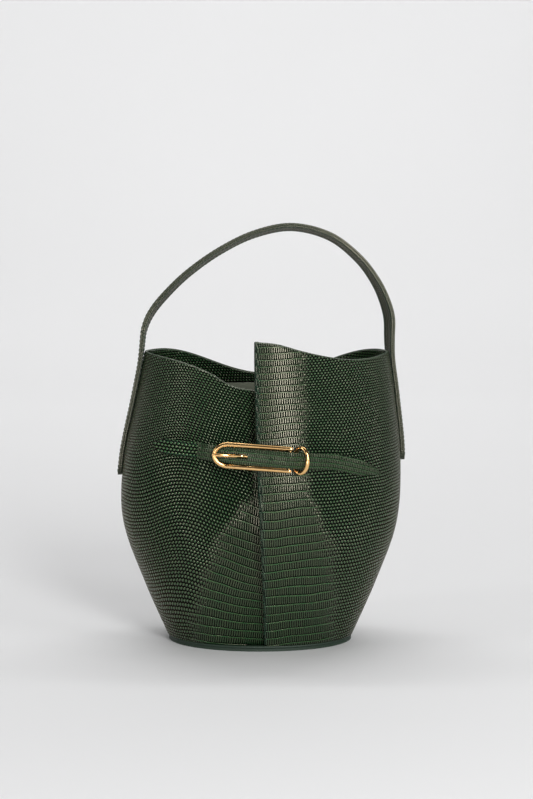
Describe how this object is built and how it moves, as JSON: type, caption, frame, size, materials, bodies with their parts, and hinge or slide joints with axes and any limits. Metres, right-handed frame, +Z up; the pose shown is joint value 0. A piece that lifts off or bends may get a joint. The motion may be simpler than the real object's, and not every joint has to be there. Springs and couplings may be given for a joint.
{
  "type": "bucket bag",
  "caption": "Small bucket bag in lizard-grain leather: round base, front knife pleat held by a belt and long gold buckle, flat leather top handle.",
  "frame": {"origin": "centre of the base's underside", "axes": "+Z up through the mouth; -Y is the front with the pleat, belt and buckle; +X is the wearer-facing viewer's right, where the belt's free end points"},
  "size_m": [0.2456, 0.1822, 0.3558],
  "materials": {
    "leather": "lizard-embossed calf leather, semi-gloss",
    "suede": "suede, matt",
    "board": "fibre board, matt",
    "thread": "waxed thread",
    "gold": "polished, gold-coloured"
  },
  "bodies": {
    "bag": {"front_panel": "leather", "rear_panel": "leather", "rear_facing": "leather", "lining": "suede", "base_panel": "leather", "base_welt": "leather", "base_board": "board", "base_lining": "suede", "handle_end_left": "leather", "handle_end_right": "leather", "handle_stitches": "thread", "belt_strap": "leather", "belt_stitches": "thread", "belt_chape": "leather", "buckle_pin": "gold"},
    "handle": {"handle_outer": "leather", "handle_inner": "leather"},
    "buckle": {"buckle_frame": "gold"},
    "prong": {"buckle_prong": "gold"},
    "keeper": {"keeper_ring": "gold"}
  },
  "joints": [
    {"name": "handle_tilt", "type": "hinge", "parent": "bag", "child": "handle", "pos_m": [-0.10001, 0, 0.2575], "axis": [0.9991, 0.0431, 0], "range_deg": [-50, 65], "stiffness_Nm_per_rad": 0.12},
    {"name": "buckle_lift", "type": "hinge", "parent": "bag", "child": "buckle", "pos_m": [0.02443, -0.0922, 0.16642], "axis": [0.0767, 0, 0.9971], "range_deg": [0, 8], "deforming": ["belt_strap"]},
    {"name": "prong_lift", "type": "hinge", "parent": "buckle", "child": "prong", "pos_m": [0.02443, -0.0922, 0.16642], "axis": [0.0767, 0, 0.9971], "range_deg": [0, 1.5]},
    {"name": "keeper_slide", "type": "slide", "parent": "bag", "child": "keeper", "axis": [0.955, 0.2874, -0.0735], "range_m": [0, 0.003]}
  ]
}
